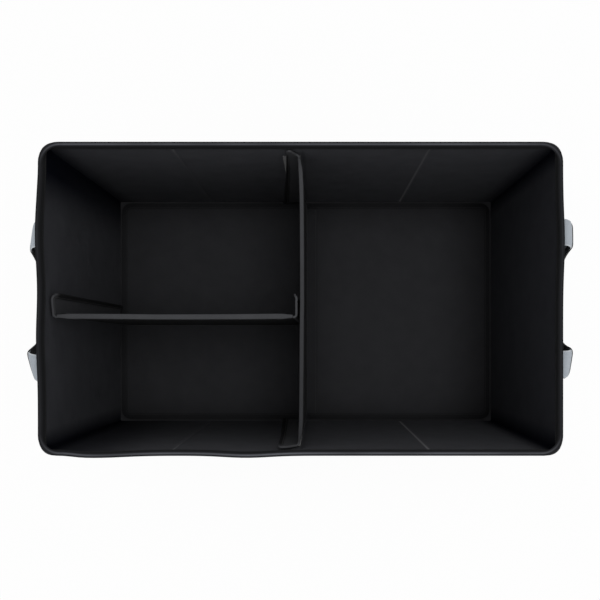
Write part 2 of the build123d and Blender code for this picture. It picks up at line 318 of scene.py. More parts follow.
def cloth_material(
    name, colour, light, pitch=(0.0011, 0.0011), weave=0.5, wrinkles=0.25, wrinkle_size=0.03,
    roughness=0.85, sheen=0.07, specular=0.15, worn=None, painted_shade=None, flat=True, fuzz=0.0
):
    """Woven cloth.

    colour and light are its dark and light threads, and pitch is the size of its weave along u and v. worn
    brings the colour of wear and painted highlight, and grime the colour of painted shade, where their marks
    say. The weave follows the piece's cloth if flat, and otherwise the frame's axes. fuzz makes a pile."""
    material = bpy.data.materials.new(name)
    material.use_nodes = True
    tree = material.node_tree
    shader = tree.nodes["Principled BSDF"]
    gloss = {"Roughness": roughness, "Specular IOR Level": specular}
    set_inputs(tree, shader, gloss | {"Sheen Weight": sheen, "Sheen Roughness": 0.45})
    node = partial(add_node, tree)

    def math(operation, a, b=0.0):
        return node("ShaderNodeMath", {0: a, 1: b}, operation=operation).outputs[0]

    def noisy(scale, detail):
        return node("ShaderNodeTexNoise", {"Vector": place, "Scale": scale, "Detail": detail}).outputs["Fac"]

    def blend_in(share, under, over):
        under, over = ((*colour, 1) if isinstance(colour, tuple) else colour for colour in (under, over))
        inputs = {"Factor": share, "A": under, "B": over}
        return node("ShaderNodeMix", inputs, data_type="RGBA").outputs["Result"]

    def bump(height, strength, distance, under=None):
        inputs = {"Height": height, "Strength": strength, "Distance": distance}
        return node("ShaderNodeBump", inputs | ({"Normal": under} if under else {})).outputs[0]

    place = node("ShaderNodeTexCoord").outputs["Object"]
    cloth = node("ShaderNodeAttribute", attribute_name="cloth").outputs["Vector"] if flat else place
    parts = node("ShaderNodeSeparateXYZ", {0: cloth}).outputs
    turns = [math("MULTIPLY", parts[axis], 2 * pi / size) for axis, size in enumerate(pitch) if size]
    waves = [math("SINE", turn) for turn in turns]
    threads = waves[0] if len(waves) == 1 else math("MULTIPLY", waves[0], waves[1])
    threads = math("ADD", math("MULTIPLY", threads, 0.5), 0.5)
    blotches = noisy(45.0, 4.0)
    fibres = noisy(1400.0, 2.0)
    share = math("ADD", math("MULTIPLY", threads, 0.35), math("MULTIPLY", blotches, 0.4))
    share = math("ADD", share, math("MULTIPLY", fibres, 0.35))
    surface = blend_in(share, colour, light)
    # Wear, and on some pieces a painted highlight, lightens the cloth where its mark says.
    if worn is not None:
        wear_highlight_mask = node("ShaderNodeAttribute", attribute_name="worn").outputs["Fac"]
        patchy = math("MULTIPLY", wear_highlight_mask, math("ADD", math("MULTIPLY", fibres, 0.8), 0.5))
        surface = blend_in(patchy, surface, worn)
    # Painted shade darkens the cloth where its mark says.
    if painted_shade is not None:
        shade_mask = node("ShaderNodeAttribute", attribute_name="painted_shade").outputs["Fac"]
        surface = blend_in(shade_mask, surface, painted_shade)
    relief = bump(threads, weave, 0.0003, bump(noisy(1 / wrinkle_size, 3.0), wrinkles, 0.004))
    if fuzz:
        relief = bump(fibres, fuzz, 0.0006, relief)
    set_inputs(tree, shader, {"Base Color": surface, "Normal": relief})
    return material


def grosgrain(name, colour, light, sheen=0.03, **looks):
    """Ribbed edge tape, which painted shade darkens where its mark says."""
    return cloth_material(name, colour, light, (0.0009, 0), 0.6, 0.1, painted_shade=dark_painted_shade, sheen=sheen, **looks)


def sewing_thread(name, colour, light):
    """Twisted thread, for the stitches."""
    return cloth_material(name, colour, light, (0.0003, 0.0003), roughness=0.5, sheen=0.1, flat=False)


outer_colours = (0.017, 0.017, 0.019), (0.036, 0.036, 0.039)
finishes = {
    "outer_fabric": cloth_material("outer_cloth", *outer_colours, worn=(0.10, 0.10, 0.105), wrinkles=0.7),
    # The lining is the same black cloth as the base, painted lighter to stand for light on its walls, and
    # painted shade darkens it where its mark says.
    "lining_fabric": cloth_material(
        "lining_cloth", (0.046, 0.0468, 0.0520), (0.100, 0.1020, 0.1120), worn=(0.25, 0.25, 0.26),
        painted_shade=blue_painted_shade, wrinkles=0.3, sheen=0.0, specular=0.02
    ),
    "stiffener_board": cloth_material(
        "grey_board", (0.20, 0.19, 0.17), (0.30, 0.28, 0.25), flat=False, weave=0.05, wrinkles=0.05, sheen=0.0
    ),
    "binding_tape": grosgrain(
        "grosgrain", (0.011, 0.0113, 0.0125), (0.027, 0.028, 0.031), worn=(0.15, 0.155, 0.175), specular=0.08
    ),
    "base_fabric": cloth_material(
        "base_cloth", (0.0172, 0.0175, 0.0195), (0.0405, 0.0412, 0.0455), painted_shade=dark_painted_shade, wrinkles=0.35
    ),
    # The dividers' cloth is painted darker than the lining, as painted shade on the dividers' faces.
    "divider_fabric": cloth_material(
        "divider_cloth", (0.008, 0.0082, 0.0092), (0.017, 0.0174, 0.0195), sheen=0.015, specular=0.04
    ),
    "loop_tape": cloth_material(
        "loop_pile", (0.012, 0.012, 0.013), (0.03, 0.03, 0.032), weave=0.1, fuzz=0.9, roughness=1.0, sheen=0.5
    ),
    "hook_tape": cloth_material(
        "hooks", (0.012, 0.012, 0.013), (0.035, 0.035, 0.037), (0.0016, 0.0016), 1.0, roughness=0.5, sheen=0.0
    ),
    "webbing": cloth_material(
        "grey_webbing", (0.30, 0.335, 0.37), (0.53, 0.575, 0.63), pitch=(0.0021, 0.0013), weave=0.9,
        wrinkles=0.15, roughness=0.6, sheen=0.2, worn=(0.72, 0.75, 0.78)
    ),
    "grip_fabric": cloth_material(
        "grip_cloth", (0.014, 0.014, 0.015), (0.034, 0.034, 0.036), (0.0014, 0.0014), 0.8, 0.5, 0.012
    ),
}
# The dividers' binding is painted paler than the rim's, as painted light on the dividers' tops.
divider_binding = grosgrain(
    "grosgrain_painted_paler", (0.036, 0.037, 0.040), (0.076, 0.0775, 0.083), sheen=0.02, specular=0.06
)
base_binding = grosgrain("dark_grosgrain", (0.0125, 0.0127, 0.0140), (0.030, 0.0305, 0.033), specular=0.10)
# The tabs are painted lighter than the dividers they fold from, as painted light on their faces.
tab_cloth = cloth_material(
    "tab_cloth", (0.026, 0.0266, 0.030), (0.057, 0.0585, 0.065), sheen=0.03, specular=0.07
)
underside = cloth_material("bottom_cloth", *outer_colours, wrinkles=0.35, flat=False)
thread = sewing_thread("black_thread", (0.016, 0.016, 0.017), (0.040, 0.040, 0.042))
grey_thread = sewing_thread("grey_thread", (0.40, 0.43, 0.46), (0.55, 0.58, 0.62))


def dress(obj, slot, *nodes, material=None):
    """Gives a piece its slot's finish and lets it stand for those nodes."""
    obj.data.materials.append(material or finishes[slot])
    if nodes:
        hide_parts(*nodes)
    return obj


def sew(name, rows, slot="binding_tape", material=thread, **sizes):
    """Rows of stitches, with their finish."""
    return dress(stitches(name, rows, **sizes), slot, material=material)


# ---- The walls ----
names = ["right", "back", "left", "front"]
outward = [Vector((1, 0, 0)), Vector((0, 1, 0)), Vector((-1, 0, 0)), Vector((0, -1, 0))]

# Where the walls bow out at the rim: place, how far, and about half how wide.
bows = {
    "left": [(0.075, 0.0035, 0.035), (-0.045, 0.0022, 0.030)],
    "right": [(0.066, 0.0020, 0.030)],
    "front": [(-0.236, 0.0025, 0.033), (-0.062, 0.0024, 0.026)],
    "back": [],
}
# How pale each crease of the long walls is inside, partly from crease wear and partly a painted highlight: at
# the foot, at the rim, and the power between them.
unworn = (0.0, 0.0, 1)
crease_wear_and_highlight = {
    "front": {creases[2]: (1.0, 0.9, 1), creases[1]: unworn, creases[0]: (0.06, 1.0, 9)},
    "back": {creases[2]: (0.85, 0.25, 1), creases[1]: unworn, creases[0]: (0.03, 1.0, 14)},
}
# How much painted shade darkens each wall's lining at its foot and its rim.
wall_painted_shade = {"right": (0.45, 0.60), "back": (0.0, 0.22), "left": (0.04, 0.38), "front": (0.0, 0.05)}
# How much more painted shade it gets at its two ends, the first one met going anticlockwise, and how far in
# that reaches.
corner_painted_shade = {"right": (0.10, 0.0), "back": (0.2, 0.2), "left": (0.76, 0.3), "front": (0.68, 0.97)}
corner_shade_spread = {"right": (0.02, 0.02), "back": (0.03, 0.03), "left": (0.048, 0.016), "front": (0.088, 0.017)}
# Painted shade along the corner seams and how far it spreads, and the most that painted shade darkens the
# lining.
seam_painted_shade = 0.5
seam_shade_spread = 0.007
darkest = 0.97


def corner_radius(z):
    """The corner seams are tight, and open out only just under the rim."""
    suddenness = 36
    return foot_radius + (rim_radius - foot_radius) * (max(z, 0.0) / height) ** suddenness


def reach(side):
    """From the middle of the box to a wall's outside."""
    return half_width if side % 2 else half_length


def bow(side, place, z):
    """How far a wall stands out of its plane, at a place in X or Y and a height."""
    straight_end = 0.03
    taper = eased((reach(side + 1) - corner_radius(z) - abs(place)) / straight_end)
    hills = (far * exp(-(((place - middle) / spread) ** 2) / 2) for middle, far, spread in bows[names[side]])
    return sum(hills) * taper * (max(z, 0.0) / height) ** 1.5


def wall_warp(side):
    """u is the place in X or Y along the wall, v the height and w the depth from the wall's outside."""
    tangent = Vector((1, 0, 0)) if side % 2 else Vector((0, 1, 0))

    def warp(u, v, w):
        return outward[side] * (reach(side) - w + bow(side, u, v)) + tangent * u + Vector((0, 0, v))

    return warp


wall_step = 0.009


def around():
    """Stations round the box, anticlockwise: (wall, how its place is given, place)."""
    near_crease = [way * gap for gap in (0.0, 0.0009, 0.0018, 0.0030, 0.0042, 0.0056) for way in (-1, 1)]
    keep_off = near_crease[-1] + 0.002
    stations = []
    for side in range(4):
        end = reach(side + 1) - rim_radius - 0.006
        places = {round(place, 5) for place in steps(-end, end, wall_step)}
        if side % 2:
            places = {place for place in places if all(abs(place - crease) > keep_off for crease in creases)}
            places |= {round(crease + gap, 5) for crease in creases for gap in near_crease}
        stations.append((side, "seam", -1))
        stations += [(side, "at", place) for place in sorted(places)]
        stations.append((side, "seam", 1))
        stations += [(side, "turn", radians(angle)) for angle in range(10, 90, 10)]
    return stations


stations = around()


def station(u):
    """The station that u counts to."""
    return stations[int(u) % len(stations)]


def box_warp(u, v, w):
    """u counts the stations, v is the height and w the depth from the outside of the wall."""
    tightest = 0.0005
    side, kind, value = station(u)
    normal, tangent = outward[side], outward[(side + 1) % 4]
    radius = corner_radius(v)
    if kind == "turn":
        spot = normal * (reach(side) - radius) + tangent * (reach(side + 1) - radius) + Vector((0, 0, v))
        return spot + (normal * cos(value) + tangent * sin(value)) * max(radius - w, tightest)
    along = value * (reach(side + 1) - radius) if kind == "seam" else value
    spot = normal * reach(side) + tangent * along
    place = spot.x if side % 2 else spot.y
    return spot - normal * (w - bow(side, place, v)) + Vector((0, 0, v))


def crease_share(side, place):
    """1 on a crease of a long wall, 0 where its boards begin."""
    if not side % 2:
        return 0.0
    board_start = fold_gap / 2 + 0.0012
    gap = min(abs(place - crease) for crease in creases) / board_start
    return cos(min(gap, 1.0) * pi / 2) ** 2


def cloth_warp(u, v, w):
    """Like box_warp, for the two cloths: they sink between the boards and lie on them a little loosely."""
    most_loose, tight_end, sunk = 0.0005, 0.02, 0.42
    side, kind, _ = station(u)
    spot = box_warp(u, v, w)
    if kind == "turn":
        return spot
    place = spot.x if side % 2 else spot.y
    loose = most_loose * unevenness(spot.x, spot.y * 1.7, spot.z, 0.045) ** 2
    loose *= held((reach(side + 1) - corner_radius(v) - abs(place)) / tight_end)
    depth = w + (loose if w > wall / 2 else -loose)
    return box_warp(u, v, depth + (wall / 2 - w) * sunk * crease_share(side, place))


def wall_shade(side, z):
    """The painted shade of a whole wall, from its foot to its rim."""
    foot, rim = wall_painted_shade[names[side]]
    return foot + (rim - foot) * z / height


def lining_marks(u, v, w):
    """Pale lines along the long walls' creases, partly crease wear and partly a painted highlight, and
    painted shade over the walls, in the corners and along the corner seams.
    """
    side, kind, value = station(u)
    spot = box_warp(u, v, w)
    if kind == "turn":
        ends = (side, 1), ((side + 1) % 4, 0)
        before, after = (wall_shade(turned, v) + corner_painted_shade[names[turned]][end] for turned, end in ends)
        share = value / (pi / 2)
        return 0.0, min(before * (1 - share) + after * share + seam_painted_shade, darkest)
    place = spot.x if side % 2 else spot.y
    onward = spot.dot(outward[(side + 1) % 4])
    painted_shade = wall_shade(side, v)
    for end, way in enumerate((-1, 1)):
        inward = max(reach(side + 1) - onward * way - wall, 0.0)
        wedge = exp(-((inward / corner_shade_spread[names[side]][end]) ** 2.6))
        painted_shade += corner_painted_shade[names[side]][end] * wedge + seam_painted_shade * peak(inward, seam_shade_spread)
    if not side % 2:
        return 0.0, min(painted_shade, darkest)
    crease = min(creases, key=lambda x: abs(x - place))
    foot, rim, power = crease_wear_and_highlight[names[side]][crease]
    line = peak(place - crease, 0.0014)
    return (foot + (rim - foot) * (v / height) ** power) * line, min(painted_shade, darkest)


def outer_marks(u, v, w):
    """Faint lines where the outer cloth has been folded."""
    side, kind, _ = station(u)
    if kind != "at" or not side % 2:
        return 0.0, 0.0
    place = box_warp(u, v, w).x
    return 0.3 * max(peak(place - crease, 0.0016) for crease in creases), 0.0


every_station = list(range(len(stations)))
under_rim = height - 0.024
cloth_heights = steps(0.001, under_rim, 0.008) + steps(under_rim, height, 0.0024)[1:]
cloth_places = every_station, cloth_heights
outer = slab("outer_cloth_shell", *cloth_places, fabric, 0.0, cloth_warp, closed=True, marks=outer_marks)
dress(outer, "outer_fabric", "corner_gussets", *[f"{name}_outer_panel" for name in names])
lining = slab(
    "lining_cloth_shell", *cloth_places, wall, wall - fabric, cloth_warp, closed=True, marks=lining_marks
)
dress(lining, "lining_fabric", "lining_corners", *[f"{name}_lining" for name in names])
shell = [outer, lining]


def wall_places(node, side, size):
    """Places along a wall, over the length of a node that lies in it."""
    low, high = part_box(node)
    axis = 0 if side % 2 else 1
    return steps(low[axis], high[axis], size)


cover_gap = 0.0001
board_heights = steps(0.001 + board_edge_margin, height - board_edge_margin, 0.02)
board_depths = wall - fabric - cover_gap, fabric + cover_gap
for node in sorted(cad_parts):
    wall_name = node.split("_")[0]
    if wall_name in names and "_board" in node and not node.endswith("base_board"):
        side = names.index(wall_name)
        places = wall_places(node, side, wall_step)
        panel = slab(f"{node}_sheet", places, board_heights, *board_depths, wall_warp(side))
        shell.append(dress(panel, "stiffener_board", node))

rim_contour = [(c, w + wall / 2) for c, w in tape_contour(wall / 2, rim_binding_depth, binding_tape, 0.0003)]


def rim_highlight_and_shade(u, v, w):
    """A painted highlight along the top of the rim, patchy, and weaker at the end walls; painted shade
    darkens the rim at the end walls and on its inner side.
    """
    spot = box_warp(u, v, w)
    side, kind, value = station(u)
    turned = value / (pi / 2) if kind == "turn" else 0.0
    at_end = turned if side % 2 else 1 - turned
    ridge = wall * (0.55 - 0.1 * at_end)
    patchy = (0.2 + unevenness(spot.x, spot.y, 2.0, 0.05)) * (1 - 0.72 * at_end)
    inside = held((w / wall - 0.7) / 0.4)
    painted_shade = 0.08 + 0.42 * at_end + 0.40 * inside * (1 - at_end)
    return patchy * peak(w - ridge, 0.0009) * (v > height), painted_shade


rim_stations = [(k, height, 0, 1) for k in every_station]
rim_tape = sweep("rim_tape", rim_stations, rim_contour, box_warp, closed=True, marks=rim_highlight_and_shade)
shell.append(dress(rim_tape, "binding_tape", "rim_binding"))

foot_face = 0.0006
foot_contour = [
    (0.0, -0.0001),
    (0.0, -foot_face),
    (0.0006, -binding_tape),
    (foot_binding_depth * 0.5, -binding_tape - 0.0002),
    (foot_binding_depth - 0.0016, -binding_tape + 0.0001),
    (foot_binding_depth - 0.0004, -foot_face),
    (foot_binding_depth, -0.0002),
    (foot_binding_depth, 0.0),
]
foot_tape = sweep("foot_tape", [(k, 0.0, 0, 1) for k in every_station], foot_contour, box_warp, closed=True)
shell.append(dress(foot_tape, "binding_tape", "bottom_binding"))

for side in (1, 2, 3):
    node = f"{names[side]}_loop_tape"
    low, high = corners(node)
    tall = steps(low.z, high.z, 0.015)
    pile = slab(f"{node}_pile", wall_places(node, side, 0.005), tall, wall + 0.0010, wall, wall_warp(side))
    shell.append(dress(pile, "loop_tape", node))

thread_gap = 0.0001
seam_inset = 0.0018
rim_seam = height - rim_binding_depth + seam_inset
foot_seam = foot_binding_depth - seam_inset
outer_face, inner_face = -binding_tape - thread_gap, wall + binding_tape + thread_gap
seam_rows = [
    (box_warp, [(k, z, w) for k in every_station + [0]], way)
    for z, w, way in ((rim_seam, outer_face, -1), (rim_seam, inner_face, 1), (foot_seam, outer_face, -1))
]
inside_heights = steps(0.012, height - rim_binding_depth - 0.002, 0.02)
seam_rows += [
    (wall_warp(side), [(crease, z, depth) for z in inside_heights], way)
    for side in (1, 3)
    for crease in creases
    for depth, way in ((fabric + thread_gap, -1), (wall - thread_gap - fabric, 1))
]
seams = [k for k in every_station if stations[k][1] == "seam"]
seam_rows += [(box_warp, [(k, z, -thread_gap) for z in inside_heights], -1) for k in seams]
shell.append(sew("wall_stitching", seam_rows))
for piece in shell:
    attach(piece, "shell")


# ---- The base board ----
def base_warp(u, v, w):
    """u and v are X and Y. The cloth is a little loose on the boards."""
    loose = 0.0004 * unevenness(u, v, 3.0, 0.06) if w > 0.004 else 0.0
    return Vector((u, v, w + loose))


def plain_warp(u, v, w):
    """The flat piece as it is."""
    return Vector((u, v, w))


fold_low, fold_high = corners("base_hinge_tape")
fold_x = (fold_low.x + fold_high.x) / 2


def base_leaf(side, way, far_painted_shade, fold_painted_shade):
    """The cloth, bound edge and stitching of a leaf of the base, which lies way along X from the fold."""
    low, high = corners(f"{side}_base_binding")
    skin_low, skin_high = corners(f"{side}_base_cover")
    body = f"base_{side}"
    inset = 0.0003
    skin_far = (skin_high.x if way > 0 else skin_low.x) - way * inset

    def rounded(u, v, w):
        """Draws the two outer corners of the leaf in, so that they follow its binding."""
        inner_u, inner_v = skin_far - way * base_corner, skin_high.y - inset - base_corner
        over_u, over_v = max((u - inner_u) * way, 0.0), max(abs(v) - inner_v, 0.0)
        if over_u > 0 and over_v > 0:
            scale = max(over_u, over_v) / hypot(over_u, over_v)
            u = inner_u + way * over_u * scale
            v = (inner_v + over_v * scale) * (1 if v > 0 else -1)
        return base_warp(u, v, w)

    def base_marks(u, v, w):
        """Painted shade darkens the base towards the walls, and beside the long divider."""
        painted_shade = far_painted_shade * exp(-((abs(u - skin_far) / 0.05) ** 1.3))
        painted_shade += 0.3 * exp(-((max(high.y - abs(v), 0.0) / 0.03) ** 1.3))
        painted_shade += fold_painted_shade * exp(-((abs(u - fold_x) / 0.035) ** 1.5))
        return 0.0, min(painted_shade, 0.9)

    us = steps(skin_low.x, skin_high.x, 0.008)
    vs = steps(skin_low.y + inset, skin_high.y - inset, 0.008)
    skin = slab(f"{side}_base_cloth", us, vs, skin_low.z, skin_high.z, rounded, marks=base_marks)
    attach(dress(skin, "base_fabric", f"{side}_base_cover"), body)
    near_x, far_x = (low.x, high.x) if way > 0 else (high.x, low.x)
    path = three_sides(near_x, far_x - way * base_tape, low.y + base_tape, high.y - base_tape, base_corner)
    half = (high.z - low.z) / 2
    contour = [(c, w + low.z + half) for c, w in tape_contour(half - base_tape, 0.0083, base_tape)]
    edge = sweep(f"{side}_base_tape", path, contour, plain_warp, marks=base_marks)
    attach(dress(edge, "binding_tape", f"{side}_base_binding", material=base_binding), body)
    seam = 0.0066
    row = [(u - du * seam, v - dv * seam, high.z + thread_gap) for u, v, du, dv in path]
    under = [(u, v, low.z - thread_gap) for u, v, w in row]
    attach(sew(f"{side}_base_stitching", [(plain_warp, row, 1), (plain_warp, under, -1)]), body)


# The last two numbers are how much painted shade darkens each leaf at its far end and along the fold.
base_leaf("left", -1, 0.3, 0.15)
base_leaf("right", 1, 0.55, 0.35)


def hinge_warp(u, v, w):
    """The cloth of the fold puckers a little."""
    return Vector((u, v, w + 0.0003 * unevenness(u, v, 9.0, 0.03)))


hinge_rows = steps(fold_low.y, fold_high.y, 0.01)
hinge_places = steps(fold_low.x, fold_high.x, 0.001), hinge_rows, fold_low.z, fold_high.z
# The fold's cloth is darkened all over by painted shade.
hinge_cloth = slab("base_fold_cloth", *hinge_places, hinge_warp, marks=lambda u, v, w: (0.0, 0.35))
dress(hinge_cloth, "base_fabric", "base_hinge_tape")
fold_start, fold_end = ((fold_x + way * 0.007, 0, fold_low.z) for way in (-1, 1))
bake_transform(hinge_cloth)
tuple(fold_start)
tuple(fold_end)
for body, x in (("base_left", fold_low.x + 0.003), ("base_right", fold_high.x - 0.003)):
    row = [(x, y, fold_high.z + 0.0002) for y in hinge_rows]
    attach(sew(f"{body}_fold_stitching", [(plain_warp, row, 1)]), body)


# ---- The dividers ----
end_slack = 0.0023
end_bend = 0.0026  # how far the top of the long divider is pulled aside at its ends, by the tabs
divider_taper = 0.009  # where its cloth runs on past the board, to the tab
divider_fullness = {"cross": 0.64, "short": 0.86}  # how tight each one's cloth is drawn over its board


def divider_warp(name):
    """u runs along the divider, v is the height and w the distance from its middle plane.

    The cloth is drawn tight round the board, and tapers to the tabs beyond the board's ends."""
    low, high = corners(f"{name}_board")
    middle = (low + high) / 2
    axis = 1 if name == "cross" else 0
    half = (high[axis] - low[axis]) / 2

    def warp(u, v, w):
        lean = (0.0008 + 0.0005 * sin(u * 19 + 1.0)) * (v / height) ** 2
        on_face = 0.0003 if w > 0.0015 else -0.0003 if w < -0.0015 else 0.0
        loose = on_face * unevenness(u, v, 7.0 if w > 0 else 5.0, 0.05)
        from_middle = abs(u - middle[axis])
        past = held((from_middle - half + divider_taper) / divider_taper)
        side = w * divider_fullness[name] * (1 - 0.36 * eased(past)) + loose * (1 - past)
        if name == "short":
            return Vector((u, middle.y + side + lean, v))
        side += (lean + end_bend * (v / height) ** 3) * (from_middle / half) ** 10 - lean
        return Vector((middle.x - side, u, v))

    return warp


def divider_pieces(name):
    """The cloth, the bound top and bottom edges and the stitching of a divider."""
    axis = 1 if name == "cross" else 0
    low, high = corners(f"{name}_binding")
    board_low, board_high = corners(f"{name}_board")
    body = f"{name}_divider"
    warp = divider_warp(name)
    span = steps(low[axis] - end_slack, high[axis] + end_slack, 0.006)
    half = (high[1 - axis] - low[1 - axis]) / 2 - divider_tape
    tall = steps(low.z + divider_tape, high.z - divider_tape, 0.009)
    cloth = slab(f"{name}_divider_cloth", span, tall, -half, half, warp)
    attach(dress(cloth, "divider_fabric", f"{name}_cover"), body)
    board_span = steps(low[axis] + divider_taper, high[axis] - divider_taper, 0.02)
    board_half = (board_high - board_low)[1 - axis] / 2
    board = slab(f"{name}_divider_board", board_span, tall[1:-1], -board_half, board_half, warp)
    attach(dress(board, "stiffener_board", f"{name}_board"), body)
    puff = 0.0003
    contour = tape_contour(half + puff, 0.0084, divider_tape, puff)

    def tape_marks(u, v, w):
        """Painted shade darkens the cross divider's binding towards the front wall."""
        return 0.0, 0.4 * held(0.5 - u / 0.3) if name == "cross" else 0.0

    for label, z, up in (("top", high.z - divider_tape, 1), ("bottom", low.z + divider_tape, -1)):
        row = [(u, z, 0, up) for u in span]
        tape = sweep(f"{name}_{label}_tape", row, contour, warp, marks=tape_marks)
        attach(dress(tape, "binding_tape", f"{name}_binding", material=divider_binding), body)
    face, seam = half + divider_tape + puff, 0.0075
    seams = [(z, way) for z in (high.z - seam, low.z + seam) for way in (-1, 1)]
    rows = [(warp, [(u, z, way * face) for u in span], way) for z, way in seams]
    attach(sew(f"{name}_divider_stitching", rows), body)


for name in ("cross", "short"):
    divider_pieces(name)

low, high = corners("cross_loop_tape")
pile_places = steps(low.y, high.y, 0.005), steps(low.z, high.z, 0.015)
pile = slab("cross_divider_pile", *pile_places, 0.0026, 0.0034, divider_warp("cross"))
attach(dress(pile, "loop_tape", "cross_loop_tape"), "cross_divider")


# ---- The tabs ----
neck_radius = 0.0035
tab_flat = 0.0155
curl_radius = 0.012
rest_curl = radians(48)
tab_half = 0.0006
foot_clearance = 0.0012
neck = neck_radius * pi / 2
curl_length = curl_radius * rest_curl
root_gap = 0.0032


def tab_warp(origin, forward, sideways, low, high, curls, rise, widths, bend):
    """u runs from the root round the neck, along the wall and into the curl; v is the height.

    forward points to the wall and sideways to the tab's free edge. curls are the curl's angle and widths
    the tab's width, as a share, at the foot and at the top. The top edge climbs by rise towards the free
    edge, and its root is pulled aside by bend."""

    def warp(u, v, w):
        share = (v - low) / (high - low)
        curl = radians(curls[0] + (curls[1] - curls[0]) * share**2)
        wave = 0.0006 * sin(share * 11 + origin.x * 40) * max(u / 0.03, 0)
        lift = rise * eased(u / 0.022) * max(share, 0.0) ** 4
        if u > neck:
            u = neck + (u - neck) * (widths[0] + (widths[1] - widths[0]) * share)
        if u < neck:
            angle = max(u, 0.0) / neck_radius
            ahead = neck_radius * sin(angle) + min(u, 0.0)
            aside = neck_radius * (1 - cos(angle))
        elif u < neck + tab_flat:
            angle, ahead, aside = pi / 2, neck_radius, neck_radius + u - neck
        else:
            radius = curl_length / max(curl, 0.05)
            bent = (u - neck - tab_flat) / radius
            ahead = neck_radius - radius * (1 - cos(bent))
            aside = neck_radius + tab_flat + radius * sin(bent)
            angle = pi / 2 + bent
        offset = w - wave * (angle > pi / 2)
        aside += bend * max(share, 0.0) ** 3 - offset * cos(angle)
        spot = origin + forward * (ahead + offset * sin(angle)) + sideways * aside
        return Vector((spot.x, spot.y, v + lift))

    return warp


def tab_pieces(name, forward, sideways, curls, rise, widths, bend=0.0):
    """A tab's cloth, bound edges, hook tape and stitching."""
    body, divider = f"{name}_tab", name.split("_")[0]
    forward, sideways = Vector(forward), Vector(sideways)
    low, high = corners(f"{divider}_binding")
    origin = (low + high) / 2 + forward * (abs(forward.dot(high - low)) / 2 + root_gap)
    origin.z = 0
    low, high = corners(f"{body}_edging")
    warp = tab_warp(origin, forward, sideways, low.z, high.z, curls, rise, widths, bend)

    def edge_marks(u, v, w):
        """Painted shade darkens a tab's edging below its top, so that only the top edge looks lit."""
        return 0.0, 0.88 * held((high.z - 0.003 - v) / 0.012)

    free_edge = neck + tab_flat + curl_length - divider_tape
    foot, top = low.z + foot_clearance + divider_tape, high.z - divider_tape
    across = steps(-0.0012, free_edge, 0.0013)
    flap = slab(f"{body}_cloth", across, steps(foot, top, 0.008), -tab_half, tab_half, warp)
    dress(flap, "divider_fabric", f"{body}_flap", material=tab_cloth)
    path = three_sides(-0.0004, free_edge, foot, top, 0.0062, 0.0013)
    contour = tape_contour(tab_half, 0.0058, divider_tape, 0.0001)
    edging = sweep(f"{body}_tape", path, contour, warp, marks=edge_marks)
    dress(edging, "binding_tape", f"{body}_edging", material=divider_binding)
    middle = neck + tab_flat / 2
    hook_low, hook_high = corners(f"{body}_hook_tape")
    hook_places = steps(middle - 0.006, middle + 0.006, 0.003), steps(hook_low.z, hook_high.z, 0.02)
    hooks = slab(f"{body}_hooks", *hook_places, tab_half, tab_half + 0.0011, warp)
    dress(hooks, "hook_tape", f"{body}_hook_tape")
    face, seam = tab_half + divider_tape + thread_gap, 0.0044
    line = [(u - du * seam, v - dv * seam) for u, v, du, dv in path[4:-4]]
    rows = [(warp, [(u, v, way * face) for u, v in line], way) for way in (-1, 1)]
    sewn = sew(f"{body}_stitching", rows, pitch=0.0030)
    start, end = (tuple(origin + sideways * aside) for aside in (end_bend, end_bend + neck_radius))
    for piece in (flap, edging, hooks, sewn):
        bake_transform(piece)
        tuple(start)
        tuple(end)


tab_pieces("cross_back", (0, 1, 0), (-1, 0, 0), (6, 48), 0.016, (1.25, 0.42), end_bend)
tab_pieces("cross_front", (0, -1, 0), (-1, 0, 0), (6, 62), 0.013, (1.30, 0.80), end_bend)
tab_pieces("short_right", (1, 0, 0), (0, 1, 0), (20, 50), 0.003, (1.0, 0.95))
tab_pieces("short_left", (-1, 0, 0), (0, 1, 0), (20, 58), 0.004, (1.0, 1.0))


# ---- The carry handles ----
leg_low, leg_high = corners("right_handle_legs")
bend_z = leg_high.z
leg_length = leg_high.z - leg_low.z
loop_sag = bend_z - corners("right_handle_loop")[0].z - strap_width / 2
loop_lean = radians(3)
# Each leg, front then back, is sewn and folded a little differently. How many degrees its fold leans (the
# loop then hangs inwards by twice that), how much wider it is at its inner edge, its size, and its place:
leg_shapes = {
    "right": ((5, 0.12, 0.95, -0.002), (9, -0.04, 1.05, 0.001)),
    "left": ((10, 0.18, 0.98, 0.0025), (13, 0.04, 0.88, -0.001)),
}
groove_places = (0.0118, 0.0138)


def bezier(a, b, c, d):
    """Points along a cubic curve."""
    shares = np.linspace(0, 1, 60)[:, None]
    rest = 1 - shares
    return a * rest**3 + 3 * b * rest**2 * shares + 3 * c * rest * shares**2 + d * shares**3


strap_gap = 0.0001


